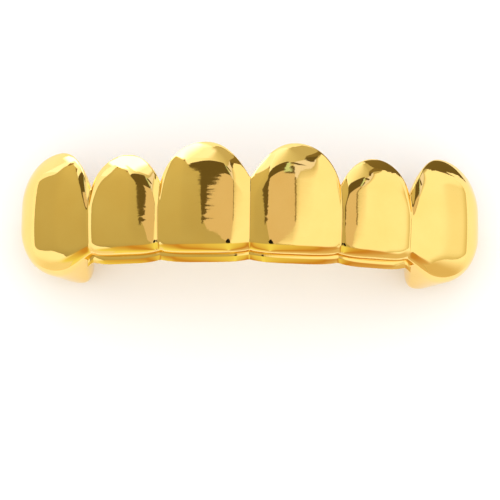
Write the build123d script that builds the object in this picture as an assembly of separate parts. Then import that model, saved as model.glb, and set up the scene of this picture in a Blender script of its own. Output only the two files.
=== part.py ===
from build123d import *
from collections import namedtuple
from math import asin, atan2, cos, hypot, pi, radians, sin, sqrt, tan
import os

# A six-tooth grillz cover for the upper front teeth, one wall of plated metal.
# Millimetres and degrees. X runs along the row of caps, +Y points to the gums,
# and the cover lies on its back with the tooth faces up along +Z.

# Metal wall, and the roundings inside it at the biting edge
WALL = 0.75
INNER_EDGE_RADIUS = 0.25
INNER_CANINE_RADIUS = 1.55
INNER_BACK_RADIUS = 0.55

# Width of each cap along the row, and the turn of its face away from straight ahead
CENTRAL_WIDTH = 9.1
LATERAL_WIDTH = 7.35
CANINE_WIDTH = 9.4
CENTRAL_TURN = 6.0
LATERAL_TURN = 16.0
CANINE_TURN = 33.0

# How far each face stands out past the grooves beside it
CENTRAL_BULGE = 0.64
LATERAL_BULGE = 0.69
CANINE_BULGE = 0.8

# Parts of that: the low ridge down the middle of a central, and the bevelled sides of an incisor
CENTRAL_RIDGE = 0.1
RIDGE_SOFTNESS = 0.09
CENTRAL_BEVEL = 0.46
LATERAL_BEVEL = 0.49
BEVEL_SOFTNESS = 0.1

# The faces are round up and down too, and fullest at the height of their belly
FACE_RADIUS = 22.0
BELLY = 4.0

# Gum rim of the faces: its height at each crest, at each groove and at the round ends
CENTRAL_CREST = 11.2
LATERAL_CREST = 10.0
CANINE_CREST = 10.8
MIDLINE_NOTCH = 7.35
LATERAL_NOTCH = 6.9
CANINE_NOTCH = 6.5
END_RIM = 5.6

# Gum rim of the back wall: its height behind each cap and at each groove
BACK_CREST = 5.2
BACK_NOTCH = 4.3

# Biting edges: lowest level of the incisors, the grooves, the canine tips and the round ends
EDGE_LEVEL = -0.5
GROOVE_LEVEL = -0.2
CANINE_TIP = -1.85
END_LEVEL = 3.95

# Depth from face to back: at the biting edge, at the back rim, and half of it at the round ends
INCISOR_EDGE_DEPTH = 3.6
CENTRAL_NECK_DEPTH = 8.5
LATERAL_NECK_DEPTH = 7.4
GROOVE_EDGE_DEPTH = 2.8
GROOVE_NECK_DEPTH = 5.4
END_RADIUS = 3.8

# The faces curl back to their gum rim: height of the curl, and how far back it goes
CURL_RISE = 2.8
CURL_BACK = 1.55
GROOVE_CURL_BACK = 0.5

# One row for each cap, from the midline outwards. crest_at is the crest's share of the width,
# and the two powers shape the rim on the sides near to and far from the midline: with 1 it is
# a parabola, with a half an ellipse. start_notch and end_notch are the rim's heights beside it.
# bevel_from is where a bevel starts, as a share of the way from the middle to the groove, and
# fall_power is how late the rest of the face falls into the groove. outer_ease is the share of
# the curl that is lost towards the far side.
Cap = namedtuple(
    "Cap",
    "width turn bulge ridge bevel bevel_from fall_power outer_ease neck_depth "
    "start_notch crest end_notch crest_at near_power far_power",
)
CENTRAL = Cap(CENTRAL_WIDTH, CENTRAL_TURN, CENTRAL_BULGE, CENTRAL_RIDGE, CENTRAL_BEVEL, 0.56, 30, 0.45,
              CENTRAL_NECK_DEPTH, MIDLINE_NOTCH, CENTRAL_CREST, LATERAL_NOTCH, 0.50, 0.92, 0.65)
LATERAL = Cap(LATERAL_WIDTH, LATERAL_TURN, LATERAL_BULGE, 0.0, LATERAL_BEVEL, 0.23, 8, 0.45,
              LATERAL_NECK_DEPTH, LATERAL_NOTCH, LATERAL_CREST, CANINE_NOTCH, 0.50, 0.78, 0.73)
CANINE = Cap(CANINE_WIDTH, CANINE_TURN, CANINE_BULGE, 0.0, 0.0, 0.0, 2.3, 0.3,
             2 * END_RADIUS, CANINE_NOTCH, CANINE_CREST, END_RIM, 0.445, 0.75, 0.85)

# Shapes of the biting edge across an incisor, and of the curl as it fades round the ends
EDGE_POWER = 4
CURL_FADE_POWER = 2

# Shares of the canine's width where its face has risen from the groove, where its back has
# come to its full depth, and where its tip lies
CANINE_RISE_SHARE = 0.42
CANINE_DEPTH_SHARE = 0.44
CANINE_TIP_SHARE = 0.46

# Sections of a cap, closer together beside the grooves, and shares of the round end's radius
# where its hollow and the solid plug that closes it are cut
INCISOR_SPANS = 8
CANINE_SPANS = 6
HOLLOW_SHARES = (0.22, 0.42, 0.56, 0.66)
PLUG_SHARES = (0.66, 0.78, 0.88, 0.95, 0.985)
CORNER_SHARE = 0.46

# A section through the wall. x and z place it on the row and turn is its direction. face, foot
# and top are distances out from there, gum, level and back_rim are heights.
Station = namedtuple(
    "Station", "x z turn face gum level edge_radius foot top back_rim wall curl_rise curl_back"
)


def row_place(cap, along):
    """Place on the row, seen along the teeth, at a distance along a cap's own width."""
    x, z = 0.0, 0.0
    for other in (CENTRAL, LATERAL, CANINE):
        length = along if other is cap else other.width
        x += length * cos(radians(other.turn))
        z -= length * sin(radians(other.turn))
        if other is cap:
            return x, z


def cut_turns(cap):
    """Directions of the cuts at both sides of a cap, each halfway between two faces."""
    if cap is CENTRAL:
        return 0.0, (CENTRAL_TURN + LATERAL_TURN) / 2
    if cap is LATERAL:
        return (CENTRAL_TURN + LATERAL_TURN) / 2, (LATERAL_TURN + CANINE_TURN) / 2
    return (LATERAL_TURN + CANINE_TURN) / 2, CANINE_TURN


def smooth(share):
    """Rises from 0 to 1 with no slope at either end."""
    return (1 - cos(pi * min(share, 1.0))) / 2


def blend(start, end, share):
    """A value on the way from start to end."""
    return start + (end - start) * share


def gum_height(cap, share):
    """Height of the face's gum rim at a share of the cap's width."""
    if share < cap.crest_at:
        away, notch, power = (cap.crest_at - share) / cap.crest_at, cap.start_notch, cap.near_power
    else:
        away, notch, power = (share - cap.crest_at) / (1 - cap.crest_at), cap.end_notch, cap.far_power
    return blend(notch, cap.crest, max(1 - away**2, 0.0) ** power)


def bend(share, start, softness):
    """A path from 0 to 1 that runs level and then rises straight, with a rounded corner at start."""
    corner, first, last = (hypot(place - start, softness) for place in (share, 0.0, 1.0))
    return (share + corner - first) / (1 + last - first)


def face_height(cap, across):
    """How far the face stands out, across being 0 at its middle and 1 at the groove."""
    ridge = cap.ridge * (1 - bend(across, 0.0, RIDGE_SOFTNESS))
    bevel = cap.bevel * (1 - bend(across, cap.bevel_from, BEVEL_SOFTNESS))
    return ridge + bevel + (cap.bulge - cap.ridge - cap.bevel) * (1 - across**cap.fall_power)


def curl_at(cap, share):
    """How far the face curls back, away from the grooves, at a share of the cap's width."""
    return CURL_BACK * (1 - cap.outer_ease * max(2 * share - 1, 0.0))


def incisor_station(cap, share):
    """Section of an incisor cap at a share of its width."""
    x, z = row_place(cap, share * cap.width)
    across = abs(2 * share - 1)
    hump = 1 - across**2
    return Station(
        x=x, z=z, turn=blend(*cut_turns(cap), share),
        face=face_height(cap, across),
        gum=gum_height(cap, share),
        level=blend(EDGE_LEVEL, GROOVE_LEVEL, across**EDGE_POWER),
        edge_radius=INNER_EDGE_RADIUS,
        foot=blend(-GROOVE_EDGE_DEPTH, cap.bulge - INCISOR_EDGE_DEPTH, hump),
        top=blend(-GROOVE_NECK_DEPTH, cap.bulge - cap.neck_depth, hump),
        back_rim=blend(BACK_NOTCH, BACK_CREST, hump),
        wall=WALL, curl_rise=CURL_RISE,
        curl_back=blend(GROOVE_CURL_BACK, curl_at(cap, share), hump),
    )


def canine_level(share):
    """Lowest level of the canine's biting edge: down to its tip, and up a quarter of an ellipse to
    the round end."""
    if share < CANINE_TIP_SHARE:
        return blend(GROOVE_LEVEL, CANINE_TIP, sin(pi / 2 * share / CANINE_TIP_SHARE))
    away = (share - CANINE_TIP_SHARE) / (1 - CANINE_TIP_SHARE)
    return blend(CANINE_TIP, END_LEVEL, 1 - sqrt(1 - away**2))


def canine_station(along, past=0.0):
    """Section of a canine cap: along runs from 0 at its groove to 1 at the round end's centre,
    and past runs on from there to 1 at the round end itself."""
    straight = CANINE.width - END_RADIUS
    reach = along * straight + past * END_RADIUS
    x, z = row_place(CANINE, reach)
    share = reach / CANINE.width
    rise = max(1 - share / CANINE_RISE_SHARE, 0.0)
    middle = CANINE.bulge - END_RADIUS
    half = END_RADIUS * sqrt(1 - past**2)
    hollow = sqrt(max((END_RADIUS - WALL) ** 2 - (past * END_RADIUS) ** 2, 0.0))
    narrow = half / END_RADIUS
    deep = smooth(share / CANINE_DEPTH_SHARE)
    curl = blend(GROOVE_CURL_BACK, curl_at(CANINE, share), smooth(share / CANINE_RISE_SHARE))
    return Station(
        x=x, z=z, turn=blend(*cut_turns(CANINE), smooth(along)),
        face=middle + half if past else face_height(CANINE, rise),
        gum=gum_height(CANINE, share),
        level=canine_level(share),
        edge_radius=blend(INNER_EDGE_RADIUS, INNER_CANINE_RADIUS, smooth(share / CANINE_TIP_SHARE)),
        foot=blend(-GROOVE_EDGE_DEPTH, middle - half, deep),
        top=blend(-GROOVE_NECK_DEPTH, middle - half, deep),
        back_rim=blend(BACK_NOTCH, END_RIM, smooth(share)),
        wall=half - hollow if past else WALL,
        curl_rise=CURL_RISE * narrow,
        curl_back=curl * narrow**CURL_FADE_POWER,
    )


def arc_points(centre, radius, first, last):
    """Start, middle and end of an arc round a centre, between two angles."""
    angles = (first, (first + last) / 2, last)
    return [(centre[0] + radius * cos(angle), centre[1] + radius * sin(angle)) for angle in angles]


def moved_centre(centre, distance, angle):
    """Centre of a circle that touches another one from inside, at an angle of it."""
    return centre[0] + distance * cos(angle), centre[1] + distance * sin(angle)


def corner_room(station):
    """Largest rounding that leaves room for both corners of the biting edge."""
    fall = FACE_RADIUS - sqrt(FACE_RADIUS**2 - (BELLY - station.level) ** 2)
    return CORNER_SHARE * (station.face - station.foot - fall)


def front_arcs(station, inset):
    """The curl at the gum rim, the face and the front rounding of the edge, each tangent to the next.
    All are moved inwards by inset."""
    edge_radius = min(station.wall + station.edge_radius, corner_room(station))
    high = station.gum - station.curl_rise
    low = (station.level + edge_radius * (1 - BELLY / FACE_RADIUS)) / (1 - edge_radius / FACE_RADIUS)
    top, bottom = asin((high - BELLY) / FACE_RADIUS), asin((low - BELLY) / FACE_RADIUS)
    centre = (station.face - FACE_RADIUS, BELLY)
    slope = atan2(station.curl_back, station.curl_rise)
    curl_radius = hypot(station.curl_rise, station.curl_back) / (2 * sin(slope - top))
    curl_centre = moved_centre(centre, FACE_RADIUS - curl_radius, top)
    edge_centre = moved_centre(centre, FACE_RADIUS - edge_radius, bottom)
    return (
        arc_points(curl_centre, curl_radius - inset, 2 * slope - top, top),
        arc_points(centre, FACE_RADIUS - inset, top, bottom),
        arc_points(edge_centre, edge_radius - inset, bottom, -pi / 2),
    )


def back_arc(station, inset):
    """The back rounding of the edge, from the level floor to the leaning back wall, and the back rim."""
    radius = min(station.wall + INNER_BACK_RADIUS, corner_room(station))
    lean = atan2(station.foot - station.top, station.back_rim - station.level)
    reach = radius * tan((pi / 2 - lean) / 2)
    centre = (station.foot + reach, station.level + radius)
    out = (-cos(lean), -sin(lean))
    rim = (station.top - out[0] * inset, station.back_rim - out[1] * inset)
    return arc_points(centre, radius - inset, -pi / 2, -pi + lean), rim


def place(station, point):
    """A point of a section, given as distance out and height, as a point of the cover."""
    out, height = point
    turn = radians(station.turn)
    return Vector(station.x + out * sin(turn), height, station.z + out * cos(turn))


def side_edges(station, inset):
    """The edges of one side of the wall, from the face's rim round the edge to the back rim."""
    back, rim = back_arc(station, inset)
    arcs = [[place(station, point) for point in arc] for arc in (*front_arcs(station, inset), back)]
    return [
        *[ThreePointArc(*arc) for arc in arcs[:3]],
        Line(arcs[2][-1], arcs[3][0]),
        ThreePointArc(*arcs[3]),
        Line(arcs[3][-1], place(station, rim)),
    ]


def wall_section(station):
    """Closed section of the hollow wall."""
    outer = side_edges(station, 0.0)
    inner = side_edges(station, station.wall)
    back_rim = Line(outer[-1] @ 1, inner[-1] @ 1)
    face_rim = Line(inner[0] @ 0, outer[0] @ 0)
    return Wire([*outer, back_rim, *reversed(inner), face_rim])


def solid_section(station):
    """Closed section of the metal at a round end, past the hollow."""
    outer = side_edges(station, 0.0)
    return Wire([*outer, Line(outer[-1] @ 1, outer[0] @ 0)])


def incisor_cap(cap):
    """One hollow incisor cap, lofted from groove to groove."""
    shares = [smooth(index / INCISOR_SPANS) for index in range(INCISOR_SPANS + 1)]
    return Solid.make_loft([wall_section(incisor_station(cap, share)) for share in shares])


def canine_cap():
    """The hollow canine cap, from its groove into the round end."""
    alongs = [1 - cos(pi / 2 * index / CANINE_SPANS) for index in range(CANINE_SPANS + 1)]
    stations = [canine_station(along) for along in alongs]
    stations += [canine_station(1.0, past) for past in HOLLOW_SHARES]
    return Solid.make_loft([wall_section(station) for station in stations])


def end_plug():
    """The metal that closes the round end."""
    return Solid.make_loft([solid_section(canine_station(1.0, past)) for past in PLUG_SHARES])


def upper_grill():
    """The whole cover: three caps and a closed end, with their mirror image across the midline,
    set down with its middle over the origin and its lowest point on the floor."""
    half = incisor_cap(CENTRAL).fuse(incisor_cap(LATERAL), canine_cap(), end_plug())
    whole = half.fuse(half.mirror(Plane.YZ)).clean()
    box = whole.bounding_box()
    middle = box.center()
    return whole.moved(Location((-middle.X, -middle.Y, -box.min.Z)))


os.makedirs("parts", exist_ok=True)
export_step(upper_grill(), "parts/upper_grill.step")
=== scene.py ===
from math import cos, radians, sin

import bmesh
import bpy
import numpy as np
from mathutils import Matrix, Vector


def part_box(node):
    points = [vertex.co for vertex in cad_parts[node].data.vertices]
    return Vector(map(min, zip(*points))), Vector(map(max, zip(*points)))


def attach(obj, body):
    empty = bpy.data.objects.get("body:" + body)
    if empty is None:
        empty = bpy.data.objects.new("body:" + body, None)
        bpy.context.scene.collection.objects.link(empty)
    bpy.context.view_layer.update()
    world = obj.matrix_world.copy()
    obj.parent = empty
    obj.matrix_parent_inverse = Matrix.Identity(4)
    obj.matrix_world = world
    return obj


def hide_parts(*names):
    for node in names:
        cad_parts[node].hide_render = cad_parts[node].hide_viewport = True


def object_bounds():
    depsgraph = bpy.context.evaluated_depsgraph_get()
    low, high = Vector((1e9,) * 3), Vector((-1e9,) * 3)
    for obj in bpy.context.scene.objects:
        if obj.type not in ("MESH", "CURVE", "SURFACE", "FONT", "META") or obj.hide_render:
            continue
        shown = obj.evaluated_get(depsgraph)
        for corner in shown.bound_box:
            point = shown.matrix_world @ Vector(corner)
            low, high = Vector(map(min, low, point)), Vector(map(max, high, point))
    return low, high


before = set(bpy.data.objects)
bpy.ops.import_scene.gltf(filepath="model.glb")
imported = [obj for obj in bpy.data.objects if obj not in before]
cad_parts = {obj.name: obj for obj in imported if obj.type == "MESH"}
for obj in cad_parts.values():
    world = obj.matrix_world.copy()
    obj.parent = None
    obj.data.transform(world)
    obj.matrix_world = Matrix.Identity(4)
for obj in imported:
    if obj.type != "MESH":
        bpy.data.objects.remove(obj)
cad_low, cad_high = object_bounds()
cad_middle = (cad_low + cad_high) / 2

# The cover
# One wall of brass, pressed into six tooth caps that grow out of each other at five grooves.
# Round ends close the row, the gum rims are trimmed in scallops, and every rim is rounded by hand.
# Its sizes are in millimetres, and MM makes them metres.
MM = 0.001
WALL = 0.75
RIM_ROUNDING = 0.25

# Central, lateral and canine cap, from the midline outwards
CAP_WIDTHS = np.array([9.1, 7.35, 9.4])
CAP_TURNS = np.radians([6.0, 16.0, 33.0])
CAP_BULGES = np.array([0.64, 0.69, 0.8])
CRESTS = np.array([11.2, 10.0, 10.8])
CREST_SHARES = np.array([0.5, 0.5, 0.445])
NEAR_POWERS = np.array([0.92, 0.78, 0.75])
FAR_POWERS = np.array([0.65, 0.73, 0.85])
CENTRAL, LATERAL, CANINE = 0, 1, 2

# Rims at the midline, the two grooves and the round end, and the rim of the back wall
NOTCHES = np.array([7.35, 6.9, 6.5, 5.6])
BACK_CREST = 5.2
BACK_NOTCH = 4.3

# Faces: what of the bulge is a middle ridge and what is bevelled sides, from a share of half a cap
# on, and the power by which the rest falls into the groove
RIDGES = np.array([0.1, 0.0, 0.0])
RIDGE_SOFTNESS = 0.09
BEVELS = np.array([0.46, 0.49, 0.0])
BEVELS_FROM = np.array([0.56, 0.23, 0.0])
BEVEL_SOFTNESS = 0.1
GROOVE_POWERS = np.array([30, 8, 2.3])

# Faces are fullest at their belly and curl back to the gum rim, less so on a cap's outer half
FACE_RADIUS = 22.0
BELLY = 4.0
CURL_RISE = 2.8
CURL_BACK = 1.55
GROOVE_CURL_BACK = 0.5
OUTER_EASE = np.array([0.45, 0.45, 0.3])
RISE_SHARE = 0.42

# Biting edge
EDGE_LEVEL = -0.5
GROOVE_LEVEL = -0.2
CANINE_TIP = -1.85
END_LEVEL = 3.95
TIP_SHARE = 0.46
EDGE_POWER = 4
EDGE_RADIUS = 1.0
CANINE_EDGE_RADIUS = 2.3
BACK_RADIUS = 1.3
CORNER_SHARE = 0.46

# Depths from face to back, at the biting edge and at the back rim, and behind the row's line at a
# groove. A canine is as deep as its round end is wide, from a share of its width on.
END_RADIUS = 3.8
EDGE_DEPTH = 3.6
NECK_DEPTHS = np.array([8.5, 7.4, 2 * END_RADIUS])
GROOVE_EDGE_DEPTH = 2.8
GROOVE_NECK_DEPTH = 5.4
DEPTH_SHARE = 0.44

# The grooves are polished a little open, and the row turns at them over a short stretch
GROOVE_SOFTNESS = 0.15
ROW_SOFTNESS = 0.25

# Sections across a cap, crowded towards the grooves by PINCH, and points along a section
INCISOR_STEPS = 44
CANINE_STEPS = 30
END_STEPS = 24
PINCH = 0.75
CURL_STEPS, WALL_STEPS, CORNER_STEPS, FLOOR_STEPS, RIM_STEPS = 16, 24, 14, 5, 7

# Points closer than MERGE_DISTANCE become one, and a length below SHORTEST counts as that long
MERGE_DISTANCE = 0.001
SHORTEST = 1e-9


def blend(start, end, share):
    """start plus share of the way to end."""
    return start + (end - start) * share


def smooth(share):
    """Half a cosine wave, from 0 to 1 with no slope at either end."""
    return (1 - np.cos(np.pi * np.clip(share, 0, 1))) / 2


def soft(distance):
    """Distance from a groove, as a hyperbola that rounds the groove's bottom:
    sqrt(distance squared + softness squared) - softness."""
    return np.sqrt(distance**2 + GROOVE_SOFTNESS**2) - GROOVE_SOFTNESS


def bend(share, start, softness):
    """A path from 0 to 1 that runs level and then rises straight, as a hyperbola whose corner lies at
    start: (share + hypot(share - start, softness)), scaled between its values at 0 and 1."""
    corner, first, last = (np.hypot(place - start, softness) for place in (share, 0, 1))
    return (share + corner - first) / (1 + last - first)


def row_stations():
    """Where the sections lie: the cap, the distance along it, and the angle round the closed end.
    A share t of an incisor's steps lies at t - PINCH sin(2 pi t) / (2 pi) of its width, and one of a
    canine's at t - PINCH sin(pi t) / pi of its straight part. At an angle round the end the distance
    goes by the end's radius times the angle's sine."""
    t = np.arange(INCISOR_STEPS) / INCISOR_STEPS
    incisor = t - PINCH * np.sin(2 * np.pi * t) / (2 * np.pi)
    t = np.arange(CANINE_STEPS) / CANINE_STEPS
    canine = t - PINCH * np.sin(np.pi * t) / np.pi
    angle = np.linspace(0, np.pi / 2, END_STEPS + 1)
    straight = CAP_WIDTHS[CANINE] - END_RADIUS
    cap = np.repeat([CENTRAL, LATERAL, CANINE], [INCISOR_STEPS, INCISOR_STEPS, CANINE_STEPS + len(angle)])
    local = np.concatenate([
        incisor * CAP_WIDTHS[CENTRAL],
        incisor * CAP_WIDTHS[LATERAL],
        canine * straight,
        straight + END_RADIUS * np.sin(angle),
    ])
    return cap, local, np.concatenate([np.zeros(len(local) - len(angle)), angle])


def row_line(distance):
    """The row's line, seen along the teeth: the running sum of its direction, which turns from cap to
    cap by a hyperbolic tangent of the distance from each groove."""
    grooves = np.cumsum(CAP_WIDTHS)[:2]
    turn = CAP_TURNS[CENTRAL] * np.tanh(distance / ROW_SOFTNESS)
    for groove, before, after in zip(grooves, CAP_TURNS[:2], CAP_TURNS[1:]):
        turn = turn + (after - before) * (1 + np.tanh((distance - groove) / ROW_SOFTNESS)) / 2
    step = np.diff(distance)
    x = np.concatenate([[0], np.cumsum(step * (np.cos(turn[1:]) + np.cos(turn[:-1])) / 2)])
    z = -np.concatenate([[0], np.cumsum(step * (np.sin(turn[1:]) + np.sin(turn[:-1])) / 2)])
    return x, z


def cap_sections():
    """Sizes of every section from the midline to the round end, each as an array over the sections."""
    cap, local, angle = row_stations()
    width = CAP_WIDTHS[cap]
    x, z = row_line(np.concatenate([[0], np.cumsum(CAP_WIDTHS)])[cap] + local)
    share = local / width
    canine = cap == CANINE
    straight = CAP_WIDTHS[CANINE] - END_RADIUS
    away = 1 - soft(np.minimum(local, width - local)) / soft(width / 2)
    hump = 1 - away**2
    cuts = np.array([
        0,
        (CAP_TURNS[CENTRAL] + CAP_TURNS[LATERAL]) / 2,
        (CAP_TURNS[LATERAL] + CAP_TURNS[CANINE]) / 2,
        CAP_TURNS[CANINE],
    ])
    turn = blend(cuts[cap], cuts[cap + 1], np.where(canine, smooth(local / straight), share))
    # The gum rim rises from notch to crest as a power of a parabola
    crest_share = CREST_SHARES[cap]
    near = 1 - soft(local) / soft(crest_share * width)
    far = np.where(
        canine,
        (share - crest_share) / (1 - crest_share),
        1 - soft(width - local) / soft((1 - crest_share) * width),
    )
    gum = np.where(
        share < crest_share,
        blend(NOTCHES[cap], CRESTS[cap], np.clip(1 - near**2, 0, 1) ** NEAR_POWERS[cap]),
        blend(NOTCHES[cap + 1], CRESTS[cap], np.clip(1 - far**2, 0, 1) ** FAR_POWERS[cap]),
    )
    # The face rises from the groove, and the round end is a half circle seen along the teeth
    rise = np.clip(1 - soft(local) / soft(RISE_SHARE * width), 0, 1)
    side = np.where(canine, rise, away)
    face = (
        RIDGES[cap] * (1 - bend(side, 0, RIDGE_SOFTNESS))
        + BEVELS[cap] * (1 - bend(side, BEVELS_FROM[cap], BEVEL_SOFTNESS))
        + (CAP_BULGES - RIDGES - BEVELS)[cap] * (1 - side ** GROOVE_POWERS[cap])
    )
    narrow = np.cos(angle)
    middle = CAP_BULGES[CANINE] - END_RADIUS
    face = np.where(angle > 0, middle + END_RADIUS * narrow, face)
    # The edge goes down to the canine's tip by a sine and up again by a quarter of an ellipse
    tip = np.clip(soft(local) / soft(TIP_SHARE * width), 0, 1)
    past = np.clip((share - TIP_SHARE) / (1 - TIP_SHARE), 0, 1)
    canine_level = np.where(
        share < TIP_SHARE,
        blend(GROOVE_LEVEL, CANINE_TIP, np.sin(np.pi / 2 * tip)),
        blend(CANINE_TIP, END_LEVEL, 1 - np.sqrt(1 - past**2)),
    )
    level = np.where(canine, canine_level, blend(EDGE_LEVEL, GROOVE_LEVEL, away**EDGE_POWER))
    deep = smooth(share / DEPTH_SHARE)
    back = middle - END_RADIUS * narrow
    return {
        "x": x,
        "z": z,
        "turn": turn,
        "angle": angle,
        "face": face,
        "level": level,
        "gum": gum - RIM_ROUNDING * narrow,
        "back_rim": np.where(
            canine,
            blend(BACK_NOTCH, NOTCHES[-1], smooth(share)),
            blend(BACK_NOTCH, BACK_CREST, hump),
        ) - RIM_ROUNDING * narrow,
        "edge_radius": np.where(
            canine, blend(EDGE_RADIUS, CANINE_EDGE_RADIUS, smooth(share / TIP_SHARE)), EDGE_RADIUS
        ),
        "foot": np.where(
            canine,
            blend(-GROOVE_EDGE_DEPTH, back, deep),
            blend(-GROOVE_EDGE_DEPTH, CAP_BULGES[cap] - EDGE_DEPTH, hump),
        ),
        "top": np.where(
            canine,
            blend(-GROOVE_NECK_DEPTH, back, deep),
            blend(-GROOVE_NECK_DEPTH, CAP_BULGES[cap] - NECK_DEPTHS[cap], hump),
        ),
        "curl_rise": CURL_RISE * narrow,
        "curl_back": narrow**2 * blend(
            GROOVE_CURL_BACK,
            CURL_BACK * (1 - OUTER_EASE[cap] * np.clip(2 * share - 1, 0, 1)),
            np.where(canine, smooth(share / RISE_SHARE), hump),
        ),
    }


def wall_side(rim, rise, curl, wall, slope, radius, level, middle, outwards):
    """One side of a section, from its rim down to the middle of the biting edge, as distances out and
    heights. Over the rise below the rim, at a share t of the way up, it leaves the wall's tangent by
    t squared times the sum of curl and what the tangent gains there. The corner below is a circle's
    arc, as a rational quadratic with the cosine of half its angle."""
    high = rim - rise
    t = np.linspace(1, 0, CURL_STEPS, endpoint=False)
    curl_height = high + t * rise
    curl_out = wall(high) + slope(high) * t * rise - (curl + slope(high) * rise) * t**2
    low = level + radius
    wall_height = blend(high, low, np.linspace(0, 1, WALL_STEPS, endpoint=False))
    lean = slope(low)
    knee = wall(low) - lean * radius
    start = knee - outwards * radius * np.sqrt(1 + lean**2)
    weight = np.cos((np.pi - np.arccos(-outwards * lean / np.sqrt(1 + lean**2))) / 2)
    t = np.linspace(0, 1, CORNER_STEPS, endpoint=False)
    first, second, third = (1 - t) ** 2, 2 * weight * t * (1 - t), t**2
    total = first + second + third
    corner_out = (first * wall(low) + second * knee + third * start) / total
    corner_height = (first * low + (second + third) * level) / total
    floor_out = blend(start, middle, np.linspace(0, 1, FLOOR_STEPS))
    out = np.concatenate([curl_out, wall(wall_height), corner_out, floor_out], 1)
    height = np.concatenate([curl_height, wall_height, corner_height, level + 0 * floor_out], 1)
    return out, height


def outer_profile(sections):
    """Outside of every section: the face, a part of a parabola that falls away from its belly by the
    square of the height over twice FACE_RADIUS, and the straight leaning back wall."""
    face, foot, top, level, back_rim, gum = (
        sections[name][:, None] for name in ("face", "foot", "top", "level", "back_rim", "gum")
    )
    narrow = np.cos(sections["angle"])[:, None]
    fall = narrow * (BELLY - level) ** 2 / (2 * FACE_RADIUS)
    room = CORNER_SHARE * (face - foot - fall)
    middle = (face - fall + foot) / 2
    lean = (top - foot) / (back_rim - level)
    rise = sections["curl_rise"][:, None]
    front_out, front_height = wall_side(
        gum, rise, sections["curl_back"][:, None],
        lambda y: face - narrow * (y - BELLY) ** 2 / (2 * FACE_RADIUS),
        lambda y: -narrow * (y - BELLY) / FACE_RADIUS,
        np.minimum(sections["edge_radius"][:, None], room), level, middle, 1,
    )
    back_out, back_height = wall_side(
        back_rim, rise / 2, -lean * rise / 2,
        lambda y: foot + lean * (y - level),
        lambda y: lean + 0 * y,
        np.minimum(BACK_RADIUS, room), level, middle, -1,
    )
    return (
        np.concatenate([front_out, back_out[:, -2::-1]], 1),
        np.concatenate([front_height, back_height[:, -2::-1]], 1),
    )


def in_place(sections, out, height, along=0):
    """Points of the sections in the cover's frame: out goes across the row, along goes with it, and
    both turn with the section."""
    turn = sections["turn"][:, None]
    return np.stack([
        sections["x"][:, None] + out * np.sin(turn) + along * np.cos(turn),
        height,
        sections["z"][:, None] + out * np.cos(turn) - along * np.sin(turn),
    ], -1)


def rounded_rim(outside, inside, direction):
    """Half an ellipse from the outside of the wall over its rim to the inside, in steps of angle."""
    angle = (np.pi * np.arange(1, RIM_STEPS + 1) / (RIM_STEPS + 1))[None, :, None]
    middle = (outside + inside)[:, None] / 2
    across = (outside - inside)[:, None] / 2
    return middle + across * np.cos(angle) + direction[:, None] * RIM_ROUNDING * np.sin(angle)


def cover_loops():
    """The whole wall as one closed loop of points at every section, from the midline outwards. The
    inside is the outside moved in by the wall, square to the profile, and round the end the move
    turns with the angle from square to the row to along it."""
    sections = cap_sections()
    out, height = outer_profile(sections)
    d_out, d_height = np.gradient(out, axis=1), np.gradient(height, axis=1)
    length = np.maximum(np.hypot(d_out, d_height), SHORTEST)
    narrow, end = np.cos(sections["angle"])[:, None], np.sin(sections["angle"])[:, None]
    outside = in_place(sections, out, height)
    inside = in_place(
        sections,
        out + WALL * narrow * d_height / length,
        height - WALL * narrow * d_out / length,
        -WALL * end,
    )
    gum_up, back_up = (
        narrow * step / np.maximum(np.linalg.norm(step, axis=1), SHORTEST)[:, None]
        for step in (outside[:, 0] - outside[:, 1], outside[:, -1] - outside[:, -2])
    )
    return np.concatenate([
        outside,
        rounded_rim(outside[:, -1], inside[:, -1], back_up),
        inside[:, ::-1],
        rounded_rim(inside[:, 0], outside[:, 0], gum_up),
    ], 1)


def cover_mesh():
    """Both halves of the cover in metres, the left one mirrored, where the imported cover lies."""
    half = cover_loops()
    points = np.concatenate([(half * [-1, 1, 1])[:0:-1], half])
    low, high = points.min((0, 1)), points.max((0, 1))
    box_low, box_high = (np.array(corner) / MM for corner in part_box("upper_grill"))
    points[..., :2] += ((box_low + box_high) / 2 - (low + high) / 2)[:2]
    points[..., 2] += box_low[2] - low[2]
    rows, around = points.shape[:2]
    index = np.arange(rows * around).reshape(rows, around)
    beside = np.roll(index, -1, axis=1)
    faces = np.stack([index[:-1], index[1:], beside[1:], beside[:-1]], -1).reshape(-1, 4)
    mesh = bpy.data.meshes.new("polished_cover")
    mesh.from_pydata((points.reshape(-1, 3) * MM).tolist(), [], faces.tolist())
    shell = bmesh.new()
    shell.from_mesh(mesh)
    bmesh.ops.remove_doubles(shell, verts=shell.verts, dist=MERGE_DISTANCE * MM)
    bmesh.ops.recalc_face_normals(shell, faces=shell.faces)
    shell.to_mesh(mesh)
    shell.free()
    mesh.shade_smooth()
    return mesh


cover = bpy.data.objects.new("polished_cover", cover_mesh())
bpy.context.scene.collection.objects.link(cover)


# The plating
# Yellow gold over the brass, buffed to a mirror. The buffing wheel leaves a faint ripple across the
# faces, a haze in places and a fine grain.
GOLD = (0.96, 0.69, 0.23, 1)
DEEP_GOLD = (0.94, 0.65, 0.20, 1)
CLEAR_ROUGHNESS, HAZY_ROUGHNESS = 0.03, 0.055
RIPPLE_TILT = 0.0025
GRAIN_HEIGHT = 0.0004

# Lengths of the noise of each along X, Y and Z, and the values that most of a noise lies between
TONE_LENGTHS = (3.5, 3.5, 3.5)
HAZE_LENGTHS = (1.2, 0.5, 1.2)
RIPPLE_LENGTHS = (0.9, 0.14, 0.9)
GRAIN_LENGTHS = (0.3, 0.3, 0.3)
NOISE_LOW, NOISE_HIGH = 0.3, 0.7


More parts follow.
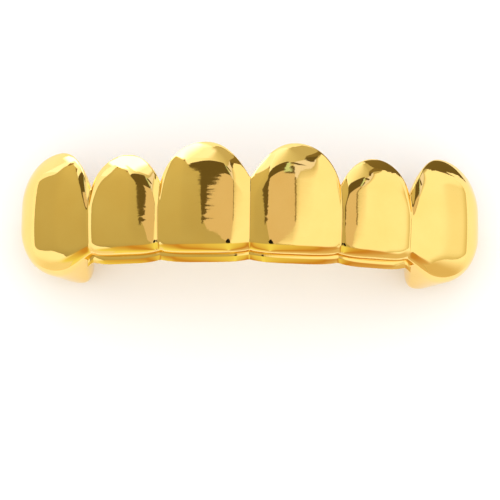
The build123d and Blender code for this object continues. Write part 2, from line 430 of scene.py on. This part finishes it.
def gold_plating():
    """Metal whose tone, haze and normal vary. The ripple tilts the normal along the row by noise that
    is stretched the same way, and the grain is a bump."""
    material = bpy.data.materials.new("gold_plating")
    material.use_nodes = True
    nodes, links = material.node_tree.nodes, material.node_tree.links
    shader = nodes["Principled BSDF"]
    shader.inputs["Metallic"].default_value = 1
    place = nodes.new("ShaderNodeTexCoord").outputs["Object"]

    def noise(lengths, detail):
        """Noise whose grain has these lengths along X, Y and Z."""
        stretch = nodes.new("ShaderNodeMapping")
        stretch.inputs["Scale"].default_value = [1 / (length * MM) for length in lengths]
        links.new(place, stretch.inputs["Vector"])
        texture = nodes.new("ShaderNodeTexNoise")
        texture.inputs["Scale"].default_value = 1
        texture.inputs["Detail"].default_value = detail
        links.new(stretch.outputs["Vector"], texture.inputs["Vector"])
        return texture.outputs["Fac"]

    def spread(value, low, high):
        """A noise's value, moved to lie between low and high."""
        scale = nodes.new("ShaderNodeMapRange")
        scale.inputs["From Min"].default_value = NOISE_LOW
        scale.inputs["From Max"].default_value = NOISE_HIGH
        scale.inputs["To Min"].default_value = low
        scale.inputs["To Max"].default_value = high
        links.new(value, scale.inputs["Value"])
        return scale.outputs["Result"]

    tone = nodes.new("ShaderNodeMix")
    tone.data_type = "RGBA"
    tone.inputs["A"].default_value = GOLD
    tone.inputs["B"].default_value = DEEP_GOLD
    links.new(spread(noise(TONE_LENGTHS, detail=3), 0, 1), tone.inputs["Factor"])
    links.new(tone.outputs["Result"], shader.inputs["Base Color"])
    haze = spread(noise(HAZE_LENGTHS, detail=4), CLEAR_ROUGHNESS, HAZY_ROUGHNESS)
    links.new(haze, shader.inputs["Roughness"])

    ripple = nodes.new("ShaderNodeCombineXYZ")
    tilt = spread(noise(RIPPLE_LENGTHS, detail=2), -RIPPLE_TILT, RIPPLE_TILT)
    links.new(tilt, ripple.inputs["X"])
    tilted = nodes.new("ShaderNodeVectorMath")
    tilted.operation = "ADD"
    links.new(nodes.new("ShaderNodeNewGeometry").outputs["Normal"], tilted.inputs[0])
    links.new(ripple.outputs["Vector"], tilted.inputs[1])
    unit = nodes.new("ShaderNodeVectorMath")
    unit.operation = "NORMALIZE"
    links.new(tilted.outputs["Vector"], unit.inputs[0])
    grain = nodes.new("ShaderNodeBump")
    grain.inputs["Distance"].default_value = GRAIN_HEIGHT * MM
    links.new(noise(GRAIN_LENGTHS, detail=2), grain.inputs["Height"])
    links.new(unit.outputs["Vector"], grain.inputs["Normal"])
    links.new(grain.outputs["Normal"], shader.inputs["Normal"])
    return material


cover.data.materials.append(gold_plating())
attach(cover, "root")
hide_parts("upper_grill")


# The camera
# It looks down on the faces from the biting side, steeply, from an arm's length, and aims AIM_DROP
# millimetres below the cover's middle, so that the cover lies a little above the picture's middle.
ELEVATION = radians(78)
ROLL = radians(1)
DISTANCE = 0.4
NEAREST = 0.01
LENS = 288
AIM_DROP = 3.54

forward = Vector((0, cos(ELEVATION), -sin(ELEVATION)))
level_right = Vector((1, 0, 0))
level_up = level_right.cross(forward)
right = cos(ROLL) * level_right + sin(ROLL) * level_up
up = cos(ROLL) * level_up - sin(ROLL) * level_right
eye = cad_middle - forward * DISTANCE - up * AIM_DROP * MM
axes = Matrix((right, up, -forward)).transposed().to_4x4()
camera_data = bpy.data.cameras.new("camera")
camera_data.lens = LENS
camera_data.clip_start = NEAREST
camera = bpy.data.objects.new("camera", camera_data)
camera.matrix_world = Matrix.Translation(eye) @ axes
bpy.context.scene.collection.objects.link(camera)
bpy.context.scene.camera = camera


# The table
# A plain sheet of white matt paper that the cover lies on. It is larger than any view.
FLOOR_HALF = 3.0
PAPER = (0.96, 0.96, 0.955, 1)
PAPER_ROUGHNESS = 0.9
PAPER_SPECULAR = 0.1

floor_mesh = bpy.data.meshes.new("table")
corners = np.array([(-1, -1, 0), (1, -1, 0), (1, 1, 0), (-1, 1, 0)]) * FLOOR_HALF
floor_mesh.from_pydata(corners.tolist(), [], [(0, 1, 2, 3)])
floor = bpy.data.objects.new("table", floor_mesh)
bpy.context.scene.collection.objects.link(floor)
paper = bpy.data.materials.new("paper")
paper.use_nodes = True
paper_inputs = paper.node_tree.nodes["Principled BSDF"].inputs
paper_inputs["Base Color"].default_value = PAPER
paper_inputs["Roughness"].default_value = PAPER_ROUGHNESS
paper_inputs["Specular IOR Level"].default_value = PAPER_SPECULAR
floor_mesh.materials.append(paper)


# The white room
# Plain light falls in from all round. The faces also mirror walls, windows and beams, and each of
# those is a glowing screen that the camera doesn't see.
ROOM_LIGHT = (1.25, 1.24, 1.22)

world = bpy.data.worlds.new("white_room")
world.use_nodes = True
world.node_tree.nodes["Background"].inputs["Color"].default_value = (*ROOM_LIGHT, 1)
bpy.context.scene.world = world
bpy.context.scene.view_settings.view_transform = "Standard"


# The far end of the room
# A wall that darkens from a pale left side to bronze, with two windows at its left and a piece of
# bright sky beside them. The domes mirror it, where the faces curl back to their gum rims.
WHITE = (3.6, 3.6, 4.2)
SKY = (1.45, 1.45, 1.7)
HIGH_SKY = (1.38, 1.36, 1.5)
PALE_WALL = (1.25, 1.25, 1.2)
DUSK = (0.80, 0.77, 0.58)
BRONZE = (0.63, 0.57, 0.385)
DEEP_BRONZE = (0.50, 0.42, 0.26)

# Degrees between the rows of a screen, the points along a row, and the seed of its ragged edges
SCREEN_STEP = 0.4
SCREEN_COLUMNS = 48
TEETH_SEED = 7

teeth_source = np.random.default_rng(TEETH_SEED)


def glowing_paper():
    """A screen's light is its "light" attribute, and where that is clear the screen lets light by."""
    material = bpy.data.materials.new("glowing_paper")
    material.use_nodes = True
    nodes, links = material.node_tree.nodes, material.node_tree.links
    nodes.remove(nodes["Principled BSDF"])
    light = nodes.new("ShaderNodeAttribute")
    light.attribute_name = "light"
    glow = nodes.new("ShaderNodeEmission")
    clear = nodes.new("ShaderNodeBsdfTransparent")
    mix = nodes.new("ShaderNodeMixShader")
    links.new(light.outputs["Color"], glow.inputs["Color"])
    links.new(light.outputs["Alpha"], mix.inputs["Fac"])
    links.new(clear.outputs["BSDF"], mix.inputs[1])
    links.new(glow.outputs["Emission"], mix.inputs[2])
    links.new(mix.outputs["Shader"], nodes["Material Output"].inputs["Surface"])
    return material


screen_material = glowing_paper()


def screen(name, distance, lights, edges, teeth=(0, 0), fade=(0, 0, 0, 0), shade=(1, 1)):
    """A screen on a sphere round the cover. edges has a row for each pitch: the pitch towards the gums,
    and the left and the right yaw away from straight up, all in degrees. Lights run from left to
    right, times shade's two factors from bottom to top. teeth are how ragged the left and the right
    edge are, in degrees, and fade is the share that fades at the left, right, bottom and top."""
    rows = np.array(edges, float)
    count = max(int((rows[-1, 0] - rows[0, 0]) / SCREEN_STEP), 2)
    pitch = np.linspace(rows[0, 0], rows[-1, 0], count)
    left, right = (np.interp(pitch, rows[:, 0], rows[:, side]) for side in (1, 2))
    left = left + teeth[0] * teeth_source.normal(size=count)
    right = right + teeth[1] * teeth_source.normal(size=count)
    across = np.linspace(0, 1, SCREEN_COLUMNS)[None, :]
    yaw = np.radians(blend(left[:, None], right[:, None], across))
    up_share = np.linspace(0, 1, count)[:, None]
    pitch = np.radians(pitch)[:, None]
    points = distance * np.stack([
        np.sin(yaw) * np.cos(pitch), np.sin(pitch) + 0 * yaw, np.cos(yaw) * np.cos(pitch)
    ], -1) + np.array(cad_middle)
    clearness = np.ones_like(yaw)
    for width, gap in zip(fade, (across, 1 - across, up_share, 1 - up_share)):
        if width:
            clearness = clearness * smooth(gap / width)
    lights = np.array(lights, float).reshape(-1, 3)
    stops = np.linspace(0, 1, len(lights))
    dimmed = blend(*shade, up_share)
    colour = [dimmed * np.interp(across + 0 * yaw, stops, channel) for channel in lights.T]
    index = np.arange(yaw.size).reshape(yaw.shape)
    faces = np.stack([index[:-1, :-1], index[1:, :-1], index[1:, 1:], index[:-1, 1:]], -1).reshape(-1, 4)
    mesh = bpy.data.meshes.new(name)
    mesh.from_pydata(points.reshape(-1, 3).tolist(), [], faces.tolist())
    light = mesh.attributes.new("light", "FLOAT_COLOR", "POINT")
    light.data.foreach_set("color", np.stack([*colour, clearness], -1).ravel())
    mesh.materials.append(screen_material)
    card = bpy.data.objects.new(name, mesh)
    card.visible_camera = False
    card.visible_diffuse = False
    card.visible_shadow = False
    bpy.context.scene.collection.objects.link(card)


screen(
    "upper_wall", 0.72,
    [SKY, SKY, SKY, PALE_WALL, DUSK, BRONZE, BRONZE, BRONZE, DEEP_BRONZE, DEEP_BRONZE, DEEP_BRONZE],
    [(40, -90, 140), (88, -90, 140)],
)
screen("near_window", 0.04, [WHITE], [
    (41, -100, -82), (45, -100, -78), (48, -98, -46), (52, -98, -60), (58, -98, -66), (72, -98, -70),
], fade=(0, 0.2, 0.1, 0.25))
screen("high_window", 0.025, [WHITE], [
    (42.5, -60, -40), (45, -98, -37), (59, -98, -37), (66, -98, -39), (70, -98, -41), (77, -98, -48),
], fade=(0, 0.25, 0.08, 0.2))
screen("high_sky", 0.026, [HIGH_SKY], [
    (46.5, -56, -36), (48, -56, -31), (49.5, -56, -24), (51, -56, -17), (60, -56, -14), (68, -56, -12),
    (76, -56, -14),
], fade=(0, 0.25, 0.05, 0.3))


# The side walls
# An olive wall at the left, lighter towards its top, and a daylit one at the right that goes from a
# narrow haze at its left edge to late gold at its right one.
OLIVE = (0.66, 0.59, 0.335)
DEEP_OLIVE = (0.60, 0.535, 0.305)
HAZE = (0.64, 0.58, 0.38)
DAYLIGHT = (1.25, 1.2, 1.1)
WARM_DAYLIGHT = (1.17, 1.16, 1.06)
PALE_GOLD = (1.02, 1.0, 0.83)
EVENING_GOLD = (0.88, 0.82, 0.59)
LATE_GOLD = (0.77, 0.70, 0.47)

screen("olive_wall", 0.70, [DEEP_OLIVE, OLIVE, OLIVE, OLIVE, DEEP_OLIVE], [
    (-45, -60, 20), (-30, -60, 14), (-8, -70, 4), (0, -78, -9), (5, -79, -12), (28, -78, -13),
    (32, -77, -15), (38, -75, -19), (46, -74, -28), (55, -73, -38), (59, -71, -55), (62, -70, -67),
], shade=(0.74, 1.15))
screen("bright_wall", 0.70, [HAZE, *[DAYLIGHT] * 7, WARM_DAYLIGHT, PALE_GOLD, EVENING_GOLD, LATE_GOLD], [
    (-45, 20, 62), (-30, 5, 62), (-8, 5, 74), (0, 8, 86), (28, 12, 88), (42, 24, 127), (52, 33, 116),
    (57, 38, 108), (61, 58, 104), (65, 76, 92),
])


# The window between them
# A tan blind in a dark frame, which has a ragged post at its left, a lintel that reaches past it on
# top, and a thin post, a rail and a strip of green at its right. A pink wall goes on from there.
TAN = (0.80, 0.67, 0.54)
PINK = (0.98, 0.95, 1.15)
GREEN = (0.70, 0.95, 0.78)
BROWN = (0.15, 0.115, 0.045)
PALE_BROWN = (0.3, 0.24, 0.12)

screen("tan_window", 0.66, [TAN], [
    (-30, 4, 5), (-12, 1.5, 7), (-5, -7, 9), (0, -10.2, 10.2), (3, -12, 12), (5, -13, 12.5), (33, -13, 12.5),
], teeth=(0, 0.06))
screen("pink_wall", 0.65, [PINK], [
    (28, 12.5, 13.5), (36, 12.5, 19.5), (42, 12.5, 24), (50, 12.5, 31), (55, 24, 36), (61, 33, 39),
])
screen("post", 0.64, [BROWN], [
    (3, -14, -12.6), (8, -14.2, -11.4), (14, -15, -10.8), (22, -15.8, -10.2), (28, -16.6, -9.2),
    (33, -17, -7),
], teeth=(0.05, 0.9))
screen("thin_post", 0.64, [PALE_BROWN], [(5, 11.8, 12.6), (29, 12.0, 13.2)], teeth=(0.1, 0.1))
screen("lintel", 0.63, [BROWN], [
    (30.5, -16.5, -8), (33, -18, 10), (37, -21, 10), (41, -24, 10), (45, -24, 9), (49, -19, 8),
    (52, -8, 7), (54, 2, 7),
], teeth=(0.4, 0))
screen("rail", 0.635, [BROWN], [(41.5, 16, 21), (44.5, 12.5, 19.5), (47.5, 9, 16), (50, 8, 12)])
screen("lintel_end", 0.63, [BROWN], [(31, 10, 12.5), (38, 10.5, 12.5), (40, 10.5, 11)])
screen("green_bar", 0.62, [GREEN], [(32, 9.8, 11.2), (50, 6.3, 8.8)])


# The beams
# Dark beams at the right, which the domes mirror. They stand close, so that each dome shows them its
# own way. Two knots of darker gold lie on the olive wall.
KNOT_GOLD = (0.35, 0.25, 0.10)

screen("beam_foot", 0.09, [BROWN], [(50, 29, 32), (55, 28, 39), (59, 30.5, 49.5)], teeth=(0.5, 0.5))
screen("beam", 0.09, [BROWN], [
    (36, 97, 128), (40, 93, 132), (47, 87, 135), (52, 82, 135), (56, 77, 135), (58, 56, 135), (59, 31, 135),
    (62, 33, 135), (64, 42, 135), (66, 70, 135), (70, 97, 135),
], teeth=(0.5, 0), shade=(1, 1.9))
screen("low_beam", 0.03, [BROWN], [
    (18, 102, 132), (24, 95, 130), (30, 87, 128), (34, 82, 124), (37, 78, 120), (42, 74, 116), (50, 70, 112),
    (58, 70, 106), (64, 74, 102), (70, 80, 100),
], teeth=(0.7, 0), shade=(1, 1.7))
screen("knot", 0.62, [KNOT_GOLD], [(58, -72, -66), (61.5, -74, -62)])
screen("low_knot", 0.62, [KNOT_GOLD], [(50, -36, -33), (55, -43, -37)])


# The near side
# A small black lens in front of the faces, and warm cards low over the table, which give the biting
# edges and the canines' ends their orange and yellow.
BLACK = (0.01, 0.01, 0.01)
COPPER = (0.79, 0.64, 0.39)
PEACH = (1.0, 0.92, 0.74)
YELLOW = (1.0, 1.0, 0.35)
AMBER = (0.62, 0.30, 0.05)

screen("lens", 0.04, [BLACK], [(-31, -1.5, 1.5), (-24, -4, 5), (-12, -5, 4), (-9.5, -1.5, 1.5)])
screen(
    "amber_card", 0.03, [COPPER, PEACH, YELLOW, AMBER, YELLOW, AMBER, COPPER, COPPER, COPPER],
    [(-88, -180, 180), (-24, -180, 180)], fade=(0, 0, 0, 0.16),
)
screen(
    "left_card", 0.029, [COPPER, PEACH, PEACH],
    [(-50, -150, -80), (-12, -150, -84)], fade=(0.2, 0.12, 0.1, 0.4),
)
screen(
    "right_card", 0.029, [COPPER, COPPER, PEACH],
    [(-50, 70, 130), (-10, 74, 130)], fade=(0.12, 0.2, 0.1, 0.4),
)
